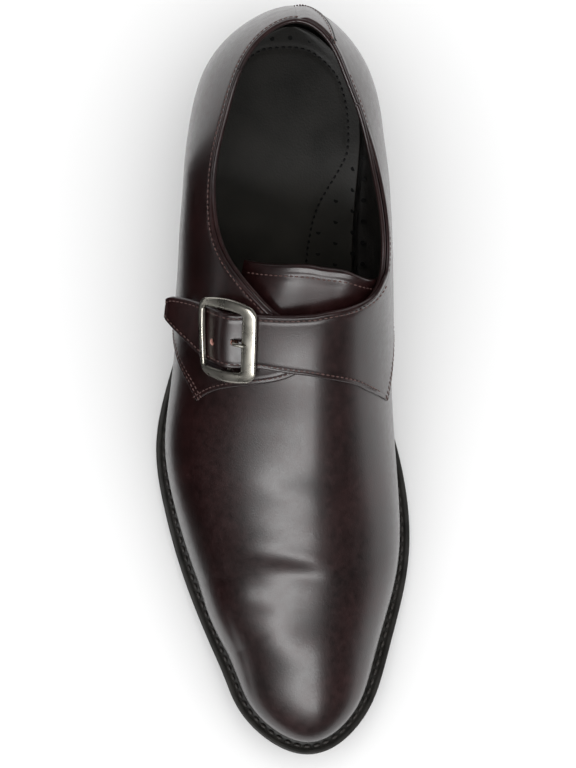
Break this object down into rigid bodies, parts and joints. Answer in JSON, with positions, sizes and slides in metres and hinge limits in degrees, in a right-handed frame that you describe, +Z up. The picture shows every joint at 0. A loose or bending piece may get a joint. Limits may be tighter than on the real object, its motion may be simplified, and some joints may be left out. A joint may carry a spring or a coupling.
{
  "type": "monk strap shoe",
  "caption": "Right dress shoe with a plain vamp, one buckled strap over the instep, a low stacked heel and a welted sole.",
  "frame": {"origin": "bottom centre of the whole shoe as it stands on its sole", "axes": "+Z up, -Y towards the toe, +X towards the medial (inner) side of this right shoe"},
  "size_m": [0.1043, 0.3017, 0.0931],
  "materials": {
    "sole_rubber": "matte black sole",
    "lift_rubber": "matte black rubber",
    "welt_leather": "inked near-black welt",
    "heel_leather": "inked and waxed leather stack",
    "sock_leather": "dark grey lining leather",
    "upper_leather": "polished burgundy-brown calf",
    "tongue_leather": "polished burgundy-brown calf",
    "strap_leather": "polished burgundy-brown calf",
    "nickel": "satin nickel",
    "prong_nickel": "satin nickel",
    "chape_leather": "burgundy-brown calf"
  },
  "bodies": {
    "root": {"outsole": "sole_rubber", "top_lift": "lift_rubber", "welt": "welt_leather", "heel_stack": "heel_leather", "insole": "sock_leather", "upper": "upper_leather", "tongue": "tongue_leather", "strap": "strap_leather", "buckle": "nickel", "prong": "prong_nickel", "chape": "chape_leather"}
  },
  "joints": []
}
